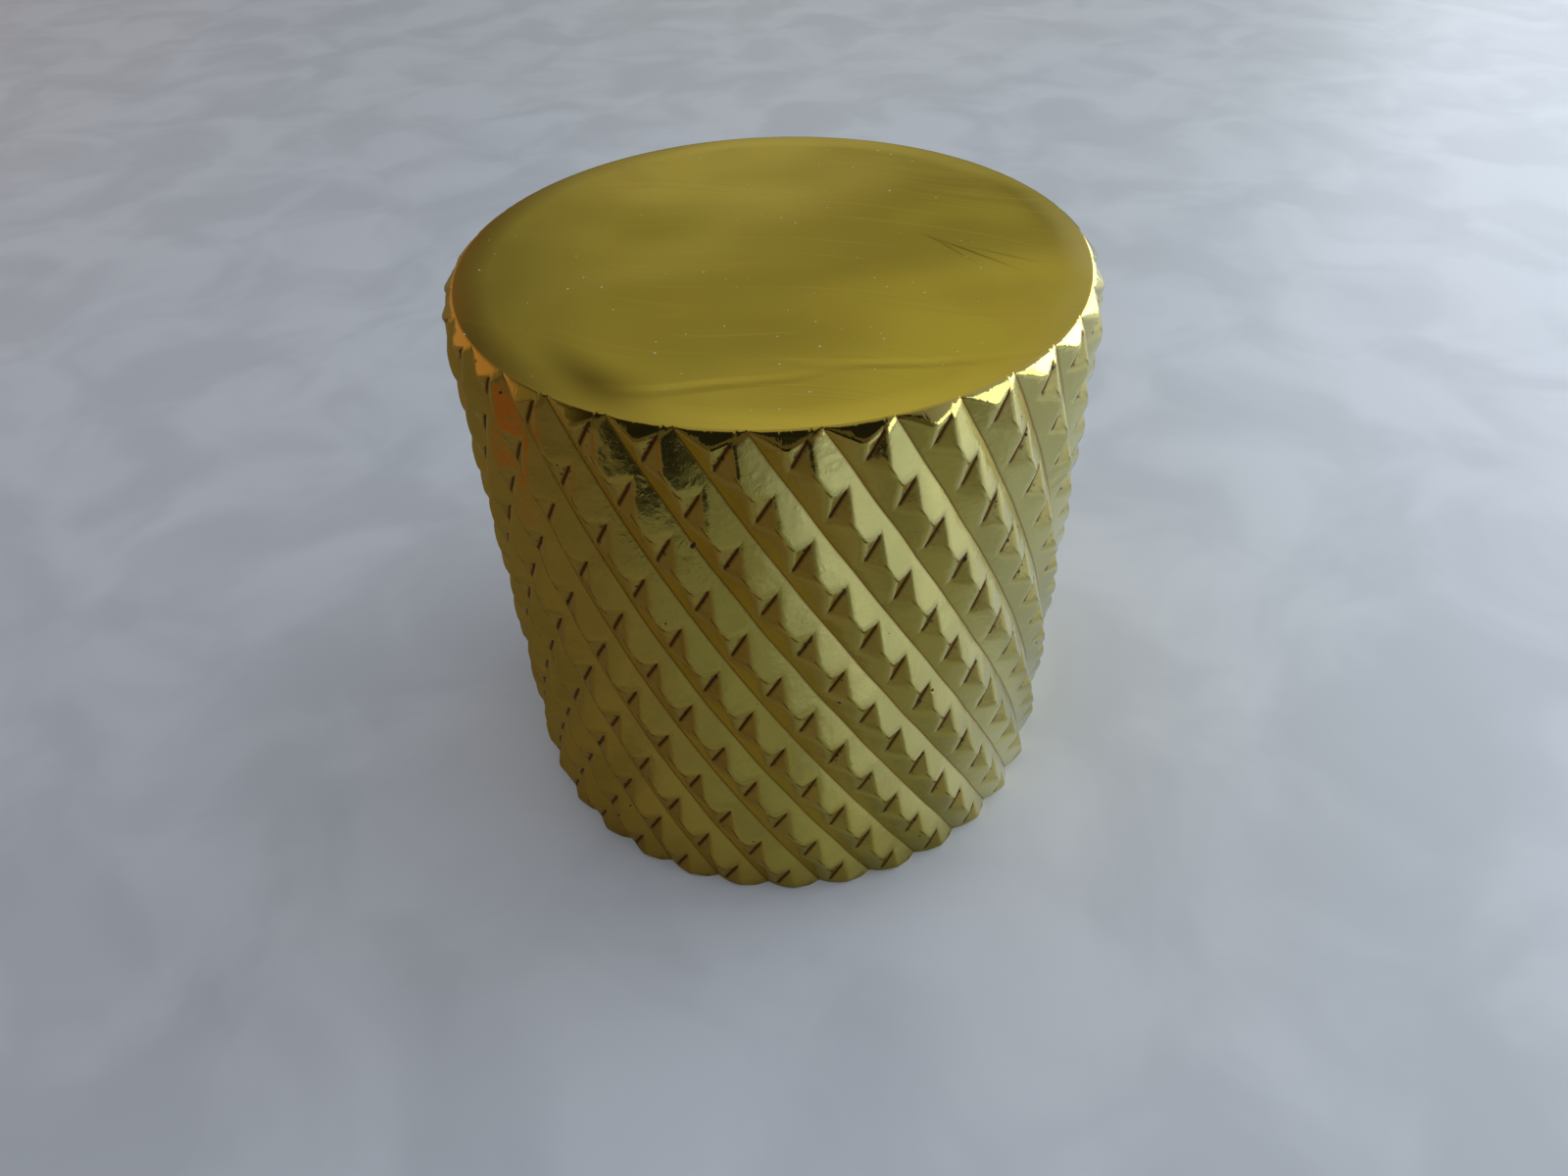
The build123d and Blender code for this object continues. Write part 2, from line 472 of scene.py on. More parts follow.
def shadeExactly(mesh):
    # Corners on the teeth and chamfers take the normal of the true surface, and each groove keeps its
    # sharp bottom. Faces are sorted by material: 0 teeth, 1 disc and top chamfer, 2 underside and bores.
    points, gap = readPoints(mesh.vertices, "co") / mm, shading["flatGap"]
    angle, drop = unroll(points)
    onTop, onBase = points[:, 2] > barrel["height"] - gap, points[:, 2] < gap
    offSkin = np.abs(np.hypot(points[:, 0], points[:, 1]) - barrel["radius"] + skinDepth(angle, drop))
    onSkin = (offSkin < shading["skinGap"]) & ~onTop
    vertexOf = np.empty(len(mesh.loops), int)
    mesh.loops.foreach_get("vertex_index", vertexOf)
    starts, sizes = np.empty(len(mesh.polygons), int), np.empty(len(mesh.polygons), int)
    mesh.polygons.foreach_get("loop_start", starts)
    mesh.polygons.foreach_get("loop_total", sizes)
    faceOf = np.repeat(np.arange(len(starts)), sizes)
    topFace = np.logical_and.reduceat(onTop[vertexOf], starts)
    skinFace = np.logical_and.reduceat((onSkin | onTop)[vertexOf], starts)
    skinFace &= ~topFace & ~np.logical_and.reduceat(onBase[vertexOf], starts)
    chamfered = chamferDepth(drop) > toothDepth(angle, drop)
    chamfered &= drop < barrel["height"] / 2
    chamferFace = np.add.reduceat((chamfered | onTop)[vertexOf].astype(float), starts) > sizes / 2
    kinds = np.where(topFace | skinFace, np.where(chamferFace, 1, 0), 2)
    mesh.polygons.foreach_set("material_index", kinds)

    edgeFaces = {}
    sharp = np.zeros(len(mesh.edges), bool)
    mesh.edges.foreach_get("use_edge_sharp", sharp)
    edgeOf = np.empty(len(mesh.loops), int)
    mesh.loops.foreach_get("edge_index", edgeOf)
    for edge, face in zip(edgeOf, faceOf):
        if edgeFaces.setdefault(edge, kinds[face] == 2) != (kinds[face] == 2):
            sharp[edge] = True
    mesh.edges.foreach_set("use_edge_sharp", sharp)

    normals = readPoints(mesh.corner_normals, "vector")
    centres = readPoints(mesh.polygons, "center") / mm
    chosen = skinFace[faceOf] & onSkin[vertexOf]
    here = np.array(latticePlace(angle[vertexOf[chosen]], drop[vertexOf[chosen]]))
    inside = np.array(latticePlace(*unroll(centres[faceOf[chosen]])))
    wayIn = (inside - here + knurl["grooves"] / 2) % knurl["grooves"] - knurl["grooves"] / 2
    inGroove = np.abs(here - np.round(here)) > shading["grooveFrom"]
    nudge = np.where(inGroove, np.sign(wayIn) * shading["inwards"], 0)
    turn, fall = np.array(placeOf(*nudge)) - np.array([placeOf(0, 0)]).T
    cornerDrop = np.clip(drop[vertexOf[chosen]] + fall, gap, None)
    normals[chosen] = skinNormals(angle[vertexOf[chosen]] + turn, cornerDrop)
    normals[(topFace | skinFace)[faceOf] & onTop[vertexOf]] = (0, 0, 1)
    mesh.normals_split_custom_set(normals)


grooveBands = dict(                # in pitches from the bottom of a groove, how far each mask reaches
    slitReach=0.16,
    valleyReach=0.14,
    overlap=0.06,           # mm of depth over which one flank's mask hands over to the next
)


# Groove masks: with them the material puts dirt and also painted shade in the groove bottoms
def markGrooves(mesh):  # masks for the material
    angle, drop = unroll(readPoints(mesh.vertices, "co") / mm)
    deep, shallow, across = flankDepths(angle, drop)
    along = latticePlace(angle, drop)[1]
    fromSlit = np.abs(np.abs(along - np.round(along)) - 0.5)
    inShallow = np.clip((shallow - deep) / grooveBands["overlap"] + 0.5, 0, 1)
    fromValley = np.abs(np.abs(across - np.round(across)) - 0.5)
    masks = dict(
        slit=np.clip(1 - fromSlit / grooveBands["slitReach"], 0, 1) * inShallow,  # bottom of a notch
        notch=inShallow * (along < np.round(along)),                       # its longer flank, that faces up
        valley=np.clip(1 - fromValley / grooveBands["valleyReach"], 0, 1),        # bottom of a deep groove
    )
    for name, values in masks.items():
        mesh.attributes.new(name, "FLOAT", "POINT").data.foreach_set("value", values.astype(np.float32))


print("building the knurled body")
body = knobShell()
tappedHole(body)
body.data.shade_smooth()
body.data.set_sharp_from_angle(angle=radians(shading["sharpDegrees"]))
shadeExactly(body.data)
markGrooves(body.data)
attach(body, "root")
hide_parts("knob_body")
print("knob body:", triangleCount(body.data), "triangles")

print("turning the screw")
grub = socketScrew()
grub.data.shade_smooth()
grub.data.set_sharp_from_angle(angle=radians(shading["screwSharpDegrees"]))
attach(grub, "root")
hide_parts("set_screw")
print("screw:", triangleCount(grub.data), "triangles")


# Nodes: an input takes a value or the socket that feeds it
def feed(tree, socket, value):
    if isinstance(value, bpy.types.NodeSocket):
        tree.links.new(value, socket)
    else:
        socket.default_value = value


def put(tree, kind, inputs=None, **settings):
    node = tree.nodes.new("ShaderNode" + kind)
    for name, value in settings.items():
        setattr(node, name, value)
    for name, value in (inputs or {}).items():
        feed(tree, node.inputs[name], value)
    return node


def calc(tree, operation, *values):
    node = put(tree, "Math", operation=operation)
    for socket, value in zip(node.inputs, values):
        feed(tree, socket, value)
    return node.outputs[0]


def calcVector(tree, operation, *values):
    node = put(tree, "VectorMath", operation=operation)
    for socket, value in zip(node.inputs, values):
        feed(tree, socket, value)
    return node.outputs["Value" if operation in ("LENGTH", "DOT_PRODUCT") else "Vector"]


def ramp(tree, value, low, high, toLow=0.0, toHigh=1.0):  # soft step from one level to the other
    inputs = {"Value": value, "From Min": low, "From Max": high, "To Min": toLow, "To Max": toHigh}
    return put(tree, "MapRange", inputs, interpolation_type="SMOOTHSTEP").outputs[0]


def blendColour(tree, share, a, b):  # a Mix node has its colours at inputs 6 and 7, its result at output 2
    node = put(tree, "Mix", {"Factor": share}, data_type="RGBA")
    feed(tree, node.inputs[6], a)
    feed(tree, node.inputs[7], b)
    return node.outputs[2]


def places(tree, scale):  # position on the object, in millimetres times the scale
    where = put(tree, "TexCoord").outputs["Object"]
    inMm = calcVector(tree, "MULTIPLY", where, (1 / mm, 1 / mm, 1 / mm))
    scaled = put(tree, "VectorMath", {"Vector": inMm, "Scale": scale}, operation="SCALE")
    return scaled.outputs["Vector"]


def fromAxis(tree):  # distance from the knob's axis, and height, in mm
    spot = put(tree, "SeparateXYZ", {"Vector": places(tree, 1.0)}).outputs
    across = put(tree, "CombineXYZ", {"X": spot[0], "Y": spot[1]}).outputs[0]
    return calcVector(tree, "LENGTH", across), spot[2]


def effect(name, inputs, output):
    tree = bpy.data.node_groups.new(name, "ShaderNodeTree")
    for label, value in inputs.items():
        tree.interface.new_socket(label, in_out="INPUT", socket_type="NodeSocketFloat").default_value = value
    tree.interface.new_socket(output, in_out="OUTPUT", socket_type="NodeSocketFloat")
    return tree, tree.nodes.new("NodeGroupInput").outputs, tree.nodes.new("NodeGroupOutput").inputs[0]


def crinkles():
    # Height of a plated skin over pressed metal: broad dents with wrinkles on them, about 0 to 1
    tree, given, out = effect("crinkles", {"Scale": 1.0, "Wrinkles": 0.4}, "Height")
    spot = places(tree, given["Scale"])
    dents = put(tree, "TexNoise", {"Vector": spot, "Scale": 0.45, "Detail": 0.0}).outputs["Fac"]
    ridged = {"Vector": spot, "Scale": 1.0, "Detail": 2.0, "Roughness": 0.55, "Distortion": 1.1}
    wrinkles = put(tree, "TexNoise", ridged, noise_type="RIDGED_MULTIFRACTAL").outputs["Fac"]
    tree.links.new(calc(tree, "MULTIPLY_ADD", wrinkles, given["Wrinkles"], dents), out)
    return tree


def specks():
    # Mask of small separate spots, Share of the cells have one
    tree, given, out = effect("specks", {"Scale": 1.0, "Share": 0.2, "Size": 0.2}, "Mask")
    cells = put(tree, "TexVoronoi", {"Vector": places(tree, given["Scale"]), "Scale": 1.0})
    lot = put(tree, "SeparateColor", {"Color": cells.outputs["Color"]}).outputs
    size = calc(tree, "MULTIPLY", given["Size"], calc(tree, "LESS_THAN", lot[0], given["Share"]))
    size = calc(tree, "MULTIPLY", size, calc(tree, "ADD", lot[1], 0.35))  # each from 0.35 to 1.35 of Size
    edge = calc(tree, "SUBTRACT", size, cells.outputs["Distance"])
    tree.links.new(ramp(tree, edge, 0.0, 0.06), out)
    return tree


def patches():
    # Mask of soft uneven patches, 0 to 1
    tree, given, out = effect("patches", {"Scale": 1.0, "Low": 0.4, "High": 0.7}, "Mask")
    spot = places(tree, given["Scale"])
    blurred = {"Vector": spot, "Scale": 1.0, "Detail": 3.0, "Distortion": 0.6}
    noise = put(tree, "TexNoise", blurred).outputs["Fac"]
    tree.links.new(ramp(tree, noise, given["Low"], given["High"]), out)
    return tree


def hairlines():
    # Mask of fine scratches that all run nearly one way, at Turn radians from X, each a little bowed.
    # A noise drawn out along them is cut off at Least.
    tree, given, out = effect("hairlines", {"Scale": 1.0, "Turn": 0.0, "Least": 0.66}, "Mask")
    spot = places(tree, given["Scale"])
    bow = put(tree, "TexNoise", {"Vector": spot, "Scale": 0.15, "Detail": 0.0}).outputs["Fac"]
    angle = calc(tree, "MULTIPLY_ADD", bow, 0.9, given["Turn"])
    turned = put(tree, "VectorRotate", {"Vector": spot, "Angle": angle}, rotation_type="Z_AXIS").outputs[0]
    drawn = calcVector(tree, "MULTIPLY", turned, (0.12, 5.5, 5.5))
    lines = put(tree, "TexNoise", {"Vector": drawn, "Scale": 1.0, "Detail": 1.0}).outputs["Fac"]
    tree.links.new(ramp(tree, lines, given["Least"], calc(tree, "ADD", given["Least"], 0.12)), out)
    return tree


def arcMark():
    # Mask of one curved mark: part of a circle about (X, Y) in mm, that fades out over Reach to both
    # sides of x = Middle. Stray bends it.
    inputs = {"X": 0.0, "Y": 0.0, "Radius": 10.0, "Width": 0.1, "Middle": 0.0, "Reach": 4.0, "Stray": 0.0}
    tree, given, out = effect("arcMark", inputs, "Mask")
    spot = put(tree, "SeparateXYZ", {"Vector": places(tree, 1.0)}).outputs
    x = calc(tree, "SUBTRACT", spot[0], given["X"])
    y = calc(tree, "SUBTRACT", spot[1], given["Y"])
    away = calcVector(tree, "LENGTH", put(tree, "CombineXYZ", {"X": x, "Y": y}).outputs[0])
    gap = calc(tree, "ADD", calc(tree, "SUBTRACT", away, given["Radius"]), given["Stray"])
    line = ramp(tree, calc(tree, "ABSOLUTE", gap), 0.0, given["Width"], 1.0, 0.0)
    fromMiddle = calc(tree, "ABSOLUTE", calc(tree, "SUBTRACT", spot[0], given["Middle"]))
    ends = ramp(tree, fromMiddle, 0.0, given["Reach"], 1.0, 0.0)
    tree.links.new(calc(tree, "MULTIPLY", line, ends), out)
    return tree


effects = dict(
    crinkles=crinkles(),
    specks=specks(),
    patches=patches(),
    hairlines=hairlines(),
    arcMark=arcMark(),
)


def use(tree, name, **values):  # places a shared effect with its own values
    node = tree.nodes.new("ShaderNodeGroup")
    node.node_tree = effects[name]
    for label, value in values.items():
        feed(tree, node.inputs[label], value)
    return node.outputs[0]


def newMaterial(name):
    material = bpy.data.materials.new(name)
    material.use_nodes = True
    return material, material.node_tree, material.node_tree.nodes["Principled BSDF"]


def mask(tree, name):
    return put(tree, "Attribute", attribute_name=name).outputs["Fac"]


def bumpNormal(tree, shader, height):  # height in mm
    bump = put(tree, "Bump", {"Height": height, "Distance": mm})
    tree.links.new(bump.outputs["Normal"], shader.inputs["Normal"])


gold = dict(
    colour=(0.80, 0.665, 0.205, 1),
    warmColour=(0.79, 0.56, 0.16, 1),     # where the plating is thin
    # Also the colour of the painted shade along the bottom of each notch
    dirtAndShadeColour=(0.030, 0.017, 0.008, 1),
    tarnishAndShade=(0.36, 0.17, 0.045, 1),       # real tarnish, and painted shade in the bottoms of the grooves and notches
)
knurlFinish = dict(
    roughness=0.13,
    unevenRoughness=0.05,                 # added where the plating is uneven, in the groove bottoms, and where it is dirty
    grooveRoughness=0.22,
    dirtRoughness=0.4,
    warmShare=0.35,                       # strength of the warmer colour in patches
    wornShare=0.30,                       # and of tarnish on the wrinkles' tops
    notchShare=0.26,                      # darkening on the notch flanks that face up
    valleyShare=0.75,                     # in the deep grooves: painted shade together with real tarnish
    slitDirtAndShade=0.6,                         # dark line in the bottom of each notch: painted shade together with real dirt
    crinkleHeight=0.019,                  # mm
    grainHeight=0.0045,
    pitDepth=0.02,
)


def knurlGold():
    material, tree, shader = newMaterial("knurlGold")
    slit, notch, valley = (mask(tree, name) for name in ("slit", "notch", "valley"))

    # Dirt gathers in the notches and grooves; their bottoms are darker and rougher: painted shade together
    # with real tarnish
    uneven = use(tree, "patches", Scale=1.1, Low=0.32, High=0.62)
    # Painted shade with real tarnish: the bottoms of the deep grooves and of the notches
    valleyTarnishAndShade = calc(tree, "MULTIPLY", ramp(tree, valley, 0.75, 1.0), knurlFinish["valleyShare"])
    grooveTarnishAndShade = calc(tree, "MAXIMUM", ramp(tree, slit, 0.55, 0.95), valleyTarnishAndShade)
    grime = use(tree, "specks", Scale=7.0, Share=0.55, Size=0.42)
    grime = calc(tree, "MULTIPLY", grime, calc(tree, "MULTIPLY", ramp(tree, slit, 0.05, 0.75), uneven))
    pits = use(tree, "specks", Scale=2.2, Share=0.10, Size=0.13)
    dirt = calc(tree, "MAXIMUM", grime, pits)

    crinkle = use(tree, "crinkles", Scale=3.6, Wrinkles=0.26)
    thinPlate = use(tree, "patches", Scale=0.45, Low=0.45, High=0.8)
    warmth = calc(tree, "MULTIPLY", thinPlate, knurlFinish["warmShare"])
    colour = blendColour(tree, warmth, gold["colour"], gold["warmColour"])
    worn = calc(tree, "MULTIPLY", ramp(tree, crinkle, 0.75, 1.15), knurlFinish["wornShare"])
    # The notch flanks that face up are darkened with the same colour
    notchFlank = calc(tree, "MULTIPLY", notch, knurlFinish["notchShare"])
    for share in (worn, notchFlank, grooveTarnishAndShade):
        colour = blendColour(tree, share, colour, gold["tarnishAndShade"])
    # Painted shade with real dirt: a dark line along the bottom of each notch
    slitLine = calc(tree, "MULTIPLY", ramp(tree, slit, 0.72, 0.97), knurlFinish["slitDirtAndShade"])
    for share in (slitLine, dirt):
        colour = blendColour(tree, share, colour, gold["dirtAndShadeColour"])
    tree.links.new(colour, shader.inputs["Base Color"])

    roughness = knurlFinish["roughness"]
    for share, name in ((uneven, "unevenRoughness"), (grooveTarnishAndShade, "grooveRoughness"), (dirt, "dirtRoughness")):
        roughness = calc(tree, "MULTIPLY_ADD", share, knurlFinish[name], roughness)
    tree.links.new(roughness, shader.inputs["Roughness"])
    tree.links.new(calc(tree, "SUBTRACT", 1.0, dirt), shader.inputs["Metallic"])

    relief = calc(tree, "MULTIPLY", crinkle, knurlFinish["crinkleHeight"])
    grain = use(tree, "crinkles", Scale=12.0, Wrinkles=0.6)
    relief = calc(tree, "MULTIPLY_ADD", grain, knurlFinish["grainHeight"], relief)
    bumpNormal(tree, shader, calc(tree, "MULTIPLY_ADD", pits, -knurlFinish["pitDepth"], relief))
    return material


topFinish = dict(
    roughness=0.085,
    smudgeRoughness=0.06,                 # added in smudges, hairlines and dust
    lineRoughness=0.07,
    dustRoughness=0.5,
    dustColour=(0.72, 0.70, 0.64, 1),
    smudgeShare=0.3,
    waveHeight=0.16,                      # mm
    lineDepth=0.00045,
    domeFrom=8.0,                         # mm from the axis, where buffing rounds the top off
    domeFall=0.05,                        # mm down at 1 mm further out
    creaseDepth=0.006,
    creases=(                             # on the top, each part of a circle, in mm
        dict(X=-2.0, Y=3.5, Radius=11.2, Width=0.30, Middle=-2.0, Reach=4.2),
        dict(X=3.4, Y=5.6, Radius=12.7, Width=0.30, Middle=3.4, Reach=4.2),
    ),
    arcStray=1.5,                         # mm by which the surface's waves pull these marks aside
    stainAndShadeColour=(0.20, 0.13, 0.03, 1),
    stainsAndShade=(                              # strength, and part of a circle: real stains, and in the first, painted shade
        # Painted shade: a broad dark band along the front-left edge of the disc
        (0.75, dict(X=1.0, Y=2.4, Radius=11.1, Width=1.1, Middle=-4.4, Reach=1.9)),
        (0.60, dict(X=-3.5, Y=-9.5, Radius=13.7, Width=0.09, Middle=5.6, Reach=1.5)),
        (0.50, dict(X=-1.0, Y=-12.0, Radius=14.4, Width=0.06, Middle=6.5, Reach=1.2)),
        (0.45, dict(X=-5.0, Y=-7.0, Radius=13.0, Width=0.07, Middle=5.0, Reach=0.8)),
    ),
)


def polishedGold():
    # Top and its rim: buffed to a shine, with hairlines, smudges, a few creases and dust
    material, tree, shader = newMaterial("polishedGold")
    wave = put(tree, "TexNoise", {"Vector": places(tree, 0.16), "Scale": 1.0, "Detail": 1.0}).outputs["Fac"]
    stray = calc(tree, "MULTIPLY", wave, topFinish["arcStray"])
    dust = use(tree, "specks", Scale=3.0, Share=0.36, Size=0.105)
    dust = calc(tree, "MULTIPLY", dust, use(tree, "patches", Scale=0.21, Low=0.38, High=0.52))
    smudge = use(tree, "patches", Scale=0.42, Low=0.5, High=0.70)
    warmth = calc(tree, "MULTIPLY", smudge, topFinish["smudgeShare"])
    colour = blendColour(tree, warmth, gold["colour"], gold["warmColour"])
    # Real stains, and in the first mark a broad band of painted shade along the disc's front-left edge
    for strength, mark in topFinish["stainsAndShade"]:
        stainAndShade = calc(tree, "MULTIPLY", use(tree, "arcMark", Stray=stray, **mark), strength)
        colour = blendColour(tree, stainAndShade, colour, topFinish["stainAndShadeColour"])
    tree.links.new(blendColour(tree, dust, colour, topFinish["dustColour"]), shader.inputs["Base Color"])
    tree.links.new(calc(tree, "SUBTRACT", 1.0, dust), shader.inputs["Metallic"])

    lines = use(tree, "hairlines", Scale=1.0, Turn=-0.25, Least=0.585)
    roughness = topFinish["roughness"]
    for share, name in ((smudge, "smudgeRoughness"), (lines, "lineRoughness"), (dust, "dustRoughness")):
        roughness = calc(tree, "MULTIPLY_ADD", share, topFinish[name], roughness)
    tree.links.new(roughness, shader.inputs["Roughness"])

    past = calc(tree, "SUBTRACT", fromAxis(tree)[0], topFinish["domeFrom"])
    past = calc(tree, "MAXIMUM", past, 0.0)
    relief = calc(tree, "MULTIPLY", calc(tree, "MULTIPLY", past, past), -topFinish["domeFall"])
    relief = calc(tree, "MULTIPLY_ADD", wave, topFinish["waveHeight"], relief)
    relief = calc(tree, "MULTIPLY_ADD", lines, -topFinish["lineDepth"], relief)
    for mark in topFinish["creases"]:
        crease = use(tree, "arcMark", Stray=stray, **mark)
        relief = calc(tree, "MULTIPLY_ADD", crease, -topFinish["creaseDepth"], relief)
    bumpNormal(tree, shader, relief)
    return material


turnedFinish = dict(roughness=0.2, ringRoughness=0.12, dirtRoughness=0.12, dirtShare=0.5, ringHeight=0.012)


def turnedGold():
    # Underside, bore and threaded hole: plated too, with the lathe's rings left in it
    material, tree, shader = newMaterial("turnedGold")
    out, height = fromAxis(tree)
    ringPlace = {"W": calc(tree, "ADD", out, height), "Scale": 9.0, "Detail": 2.0}
    rings = put(tree, "TexNoise", ringPlace, noise_dimensions="1D").outputs["Fac"]
    dirt = use(tree, "patches", Scale=0.8, Low=0.45, High=0.75)
    spots = use(tree, "specks", Scale=2.6, Share=0.25, Size=0.2)
    tarnished = calc(tree, "MULTIPLY", dirt, turnedFinish["dirtShare"])
    colour = blendColour(tree, tarnished, gold["colour"], gold["tarnishAndShade"])
    tree.links.new(blendColour(tree, spots, colour, gold["dirtAndShadeColour"]), shader.inputs["Base Color"])
    roughness = turnedFinish["roughness"]
    for share, name in ((dirt, "dirtRoughness"), (rings, "ringRoughness")):
        roughness = calc(tree, "MULTIPLY_ADD", share, turnedFinish[name], roughness)
    tree.links.new(roughness, shader.inputs["Roughness"])
    bumpNormal(tree, shader, calc(tree, "MULTIPLY", rings, turnedFinish["ringHeight"]))
    shader.inputs["Metallic"].default_value = 1
    return material


steel = dict(
    colour=(0.20, 0.19, 0.18, 1),
    wornColour=(0.46, 0.44, 0.42, 1),
    roughness=0.34,
    pitRoughness=0.2,       # added in the pits
    wornRoughness=-0.1,     # taken off where it is worn bright
    grainHeight=0.006,
)


def screwSteel():
    material, tree, shader = newMaterial("screwSteel")
    worn = use(tree, "patches", Scale=1.6, Low=0.5, High=0.75)
    pits = use(tree, "specks", Scale=5.0, Share=0.3, Size=0.25)
    colour = blendColour(tree, worn, steel["colour"], steel["wornColour"])
    tree.links.new(blendColour(tree, pits, colour, gold["dirtAndShadeColour"]), shader.inputs["Base Color"])
    roughness = calc(tree, "MULTIPLY_ADD", pits, steel["pitRoughness"], steel["roughness"])
    roughness = calc(tree, "MULTIPLY_ADD", worn, steel["wornRoughness"], roughness)
    tree.links.new(roughness, shader.inputs["Roughness"])
    grain = use(tree, "crinkles", Scale=7.0, Wrinkles=0.4)
    bumpNormal(tree, shader, calc(tree, "MULTIPLY", grain, steel["grainHeight"]))
    shader.inputs["Metallic"].default_value = 1
    return material


print("mixing the materials")
faceKinds = np.empty(len(body.data.polygons), int)
body.data.polygons.foreach_get("material_index", faceKinds)
body.data.materials.clear()
for material in (knurlGold(), polishedGold(), turnedGold()):
    body.data.materials.append(material)
body.data.polygons.foreach_set("material_index", faceKinds)
grub.data.materials.append(screwSteel())


# Floor, light and camera
stageSet = dict(
    floorSize=1.5,          # metres
    floorLit=(0.69, 0.80, 1.0, 1),        # painted light: what the metal shows of it, brighter and bluer towards the window
    floorPlain=(0.39, 0.40, 0.27, 1),
    floorShadedWarm=(0.36, 0.265, 0.12, 1),     # painted shade: darker and warmer away from it
    windowSide=95,          # degrees, measured as for the lamps
    shadedToPlain=(-0.7, 0.3),              # where these blend, in cosines of the angle to that side
    plainToLit=(0.35, 0.85),
    mottleShade=0.72,       # darker patches of the floor
    floorSeen=(0.76, 0.79, 0.84, 1),      # as the camera sees it
    floorSeenDark=(0.66, 0.69, 0.74, 1),
    floorRoughness=0.42,
)


def floorPlane():
    size = stageSet["floorSize"]
    mesh = bpy.data.meshes.new("floor")
    corners = [(-size, -size, 0), (size, -size, 0), (size, size, 0), (-size, size, 0)]
    mesh.from_pydata(corners, [], [(0, 1, 2, 3)])
    material, tree, shader = newMaterial("paleFloor")
    mottle = use(tree, "patches", Scale=0.13, Low=0.35, High=0.65)
    outwards = calcVector(tree, "NORMALIZE", put(tree, "TexCoord").outputs["Object"])
    side = calcVector(tree, "DOT_PRODUCT", outwards, towards(stageSet["windowSide"], 0))
    # Painted light and shade in what the metal reflects: the floor is brighter and bluer towards the window,
    # darker and warmer away from it
    plain = ramp(tree, side, *stageSet["shadedToPlain"])
    reflected = blendColour(tree, plain, stageSet["floorShadedWarm"], stageSet["floorPlain"])
    lit = ramp(tree, side, *stageSet["plainToLit"])
    reflected = blendColour(tree, lit, reflected, stageSet["floorLit"])
    shade = ramp(tree, mottle, 0.0, 1.0, 1.0, stageSet["mottleShade"])
    reflected = put(tree, "VectorMath", {"Vector": reflected, "Scale": shade}, operation="SCALE").outputs[0]
    seen = blendColour(tree, mottle, stageSet["floorSeen"], stageSet["floorSeenDark"])
    byCamera = put(tree, "LightPath").outputs["Is Camera Ray"]
    tree.links.new(blendColour(tree, byCamera, reflected, seen), shader.inputs["Base Color"])
    shader.inputs["Roughness"].default_value = stageSet["floorRoughness"]
    mesh.materials.append(material)
    addObject("floor", mesh)


def towards(azimuth, elevation):  # degrees; azimuth from the camera's side, to the right
    a, e = radians(azimuth), radians(elevation)
    return Vector((sin(a) * cos(e), -cos(a) * cos(e), sin(e)))


lamps = dict(               # angles in degrees, distance and size in metres
    window=dict(
        azimuth=122, elevation=17, distance=0.32, size=(0.34, 0.18),
        radiance=2.3, colour=(0.84, 0.92, 1.0),
    ),
    sideCard=dict(
        azimuth=85, elevation=24, distance=0.10, size=(0.12, 0.05),
        radiance=1.5, colour=(0.80, 0.90, 1.0),
    ),
)
lampAim = Vector((0, 0, 0.009))  # middle of the knob


def softBox(name, azimuth, elevation, distance, size, radiance, colour):
    data = bpy.data.lights.new(name, "AREA")
    data.shape = "RECTANGLE"
    data.size, data.size_y = size
    data.energy = radiance * pi * size[0] * size[1]
    data.color = colour
    lamp = bpy.data.objects.new(name, data)
    bpy.context.scene.collection.objects.link(lamp)
    lamp.location = towards(azimuth, elevation) * distance
    lamp.rotation_euler = (lampAim - lamp.location).to_track_quat("-Z", "Y").to_euler()
    lamp.visible_camera = False


cards = dict(               # corners in mm, and the light they give
    lensCard=dict(          # a dark lens, low in front
        corners=((-9, -34, 12.5), (6, -34, 11.5), (9, -34, 14), (8, -34, 25), (-10, -34, 25)),
        glow=(0.010, 0.010, 0.009, 1),
    ),
    hoodCard=dict(          # and a dark cloth above it
        corners=((-30, -34, 38), (30, -34, 38), (38, -34, 84), (-38, -34, 84)),
        glow=(0.010, 0.010, 0.009, 1),
    ),
    rustCard=dict(          # something reddish, low on the left
        corners=((-35, -19, 10), (-28, -27, 9), (-28, -27, 14), (-35, -19, 15)),
        glow=(0.20, 0.055, 0.013, 1),
    ),
)


def reflectionCards():
    # Show only in the knob's reflections, and cast no light or shadow on the floor
    for name, card in cards.items():
        mesh = bpy.data.meshes.new(name)
        corners = [Vector(corner) * mm for corner in card["corners"]]
        mesh.from_pydata(corners, [], [tuple(range(len(corners)))])
        material, tree, shader = newMaterial(name)
        shader.inputs["Base Color"].default_value = (0, 0, 0, 1)
        shader.inputs["Specular IOR Level"].default_value = 0
        shader.inputs["Emission Color"].default_value = card["glow"]
        shader.inputs["Emission Strength"].default_value = 1
        mesh.materials.append(material)
        obj = addObject(name, mesh)
        obj.visible_camera = obj.visible_diffuse = obj.visible_shadow = False


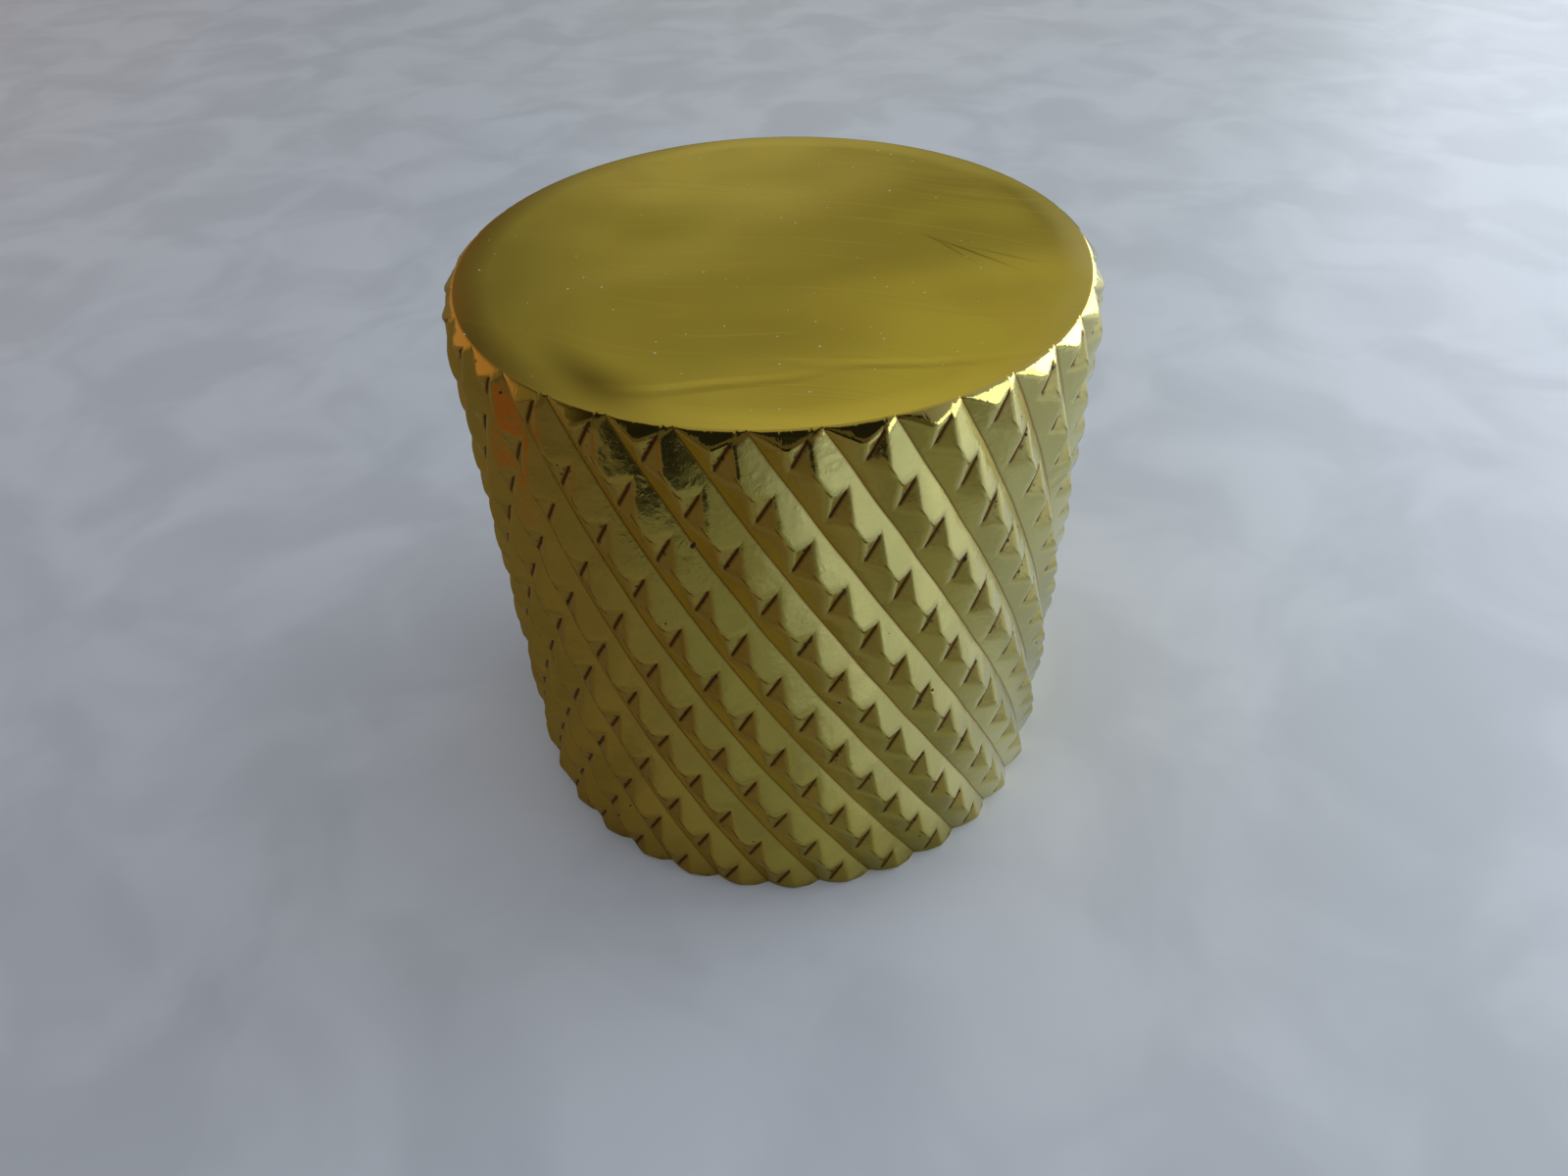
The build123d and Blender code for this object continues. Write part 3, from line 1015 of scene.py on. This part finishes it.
room = dict(
    backdrop=(0.62, 0.66, 0.72, 1),       # what the camera sees
    fill=(0.36, 0.375, 0.405, 1),         # what falls on dull surfaces
    shade=(0.075, 0.060, 0.030),          # what the metal reflects, with the glows added to it
    glows=(                               # azimuth, elevation, inner and outer angle, colour
        (168, 28, 13, 31, (0.225, 0.22, 0.08)),
        (157, 22, 0, 8, (0.07, 0.08, 0.12)),
        (181, 20, 0, 8, (0.03, 0.03, 0.02)),
        (184, 9, 3, 17, (0.08, 0.07, 0.035)),
        (168, 32, 0, 10, (0.06, 0.06, 0.005)),
        (163, 20, 0, 6.5, (-0.06, -0.058, -0.025)),  # a darker streak that crosses the top
        (168, 21.5, 0, 6.5, (-0.05, -0.048, -0.02)),
        (173, 23.5, 0, 6.5, (-0.045, -0.043, -0.02)),
        (178, 25.5, 0, 6.5, (-0.04, -0.038, -0.018)),
        (183, 27, 0, 6.5, (-0.035, -0.033, -0.016)),
        (188, 28.5, 0, 6.5, (-0.03, -0.028, -0.014)),
        (175, 72, 14, 44, (0.24, 0.22, 0.10)),
        (0, 66, 10, 22, (-0.06, -0.045, -0.02)),
        (-60, 46, 8, 26, (-0.065, -0.052, -0.027)),
        (100, 8, 25, 65, (0.30, 0.34, 0.42)),
        (-128, 5, 8, 40, (0.34, 0.15, 0.045)),
        (-88, 18, 5, 25, (0.07, 0.05, 0.015)),
    ),
)


def lightsAndWorld():
    for name, lamp in lamps.items():
        softBox(name, **lamp)
    world = bpy.data.worlds.new("studio")
    bpy.context.scene.world = world
    world.use_nodes = True
    tree = world.node_tree
    direction = put(tree, "TexCoord").outputs["Generated"]
    total = put(tree, "CombineXYZ", dict(zip("XYZ", room["shade"]))).outputs[0]
    for azimuth, elevation, inner, outer, colour in room["glows"]:
        facing = calcVector(tree, "DOT_PRODUCT", direction, towards(azimuth, elevation))
        fade = ramp(tree, facing, cos(radians(outer)), cos(radians(inner)))
        total = calcVector(tree, "MULTIPLY_ADD", fade, colour, total)
    rays = put(tree, "LightPath").outputs
    seen = blendColour(tree, rays["Is Glossy Ray"], room["fill"], total)
    seen = blendColour(tree, rays["Is Camera Ray"], seen, room["backdrop"])
    tree.links.new(seen, tree.nodes["Background"].inputs["Color"])


view = dict(
    distance=32.48,         # mm from the middle of the disc to the lens
    elevation=25.17,        # degrees above the disc
    tilt=17.09,             # further down than that line
    pan=-0.04,
    roll=-2.28,
    focalPixels=1115.0,     # for a frame as wide as the next line says
    frameWidth=1600,        # pixels
    sensorWidth=36,         # mm
    nearest=0.5,            # mm, where the view begins
)


def photoCamera():
    e, tilt = radians(view["elevation"]), radians(view["tilt"])
    place = Vector((0, -view["distance"] * cos(e), barrel["height"] + view["distance"] * sin(e))) * mm
    data = bpy.data.cameras.new("camera")
    data.sensor_width = view["sensorWidth"]
    data.lens = data.sensor_width * view["focalPixels"] / view["frameWidth"]
    data.clip_start = view["nearest"] * mm
    camera = bpy.data.objects.new("camera", data)
    bpy.context.scene.collection.objects.link(camera)
    down = Matrix.Rotation(pi / 2 - e - tilt, 4, "X")
    pan = Matrix.Rotation(-radians(view["pan"]), 4, "Y")
    roll = Matrix.Rotation(radians(view["roll"]), 4, "Z")
    camera.matrix_world = Matrix.Translation(place) @ down @ pan @ roll
    bpy.context.scene.camera = camera


print("setting the stage")
floorPlane()
reflectionCards()
lightsAndWorld()
photoCamera()
bpy.context.scene.view_settings.view_transform = "Standard"
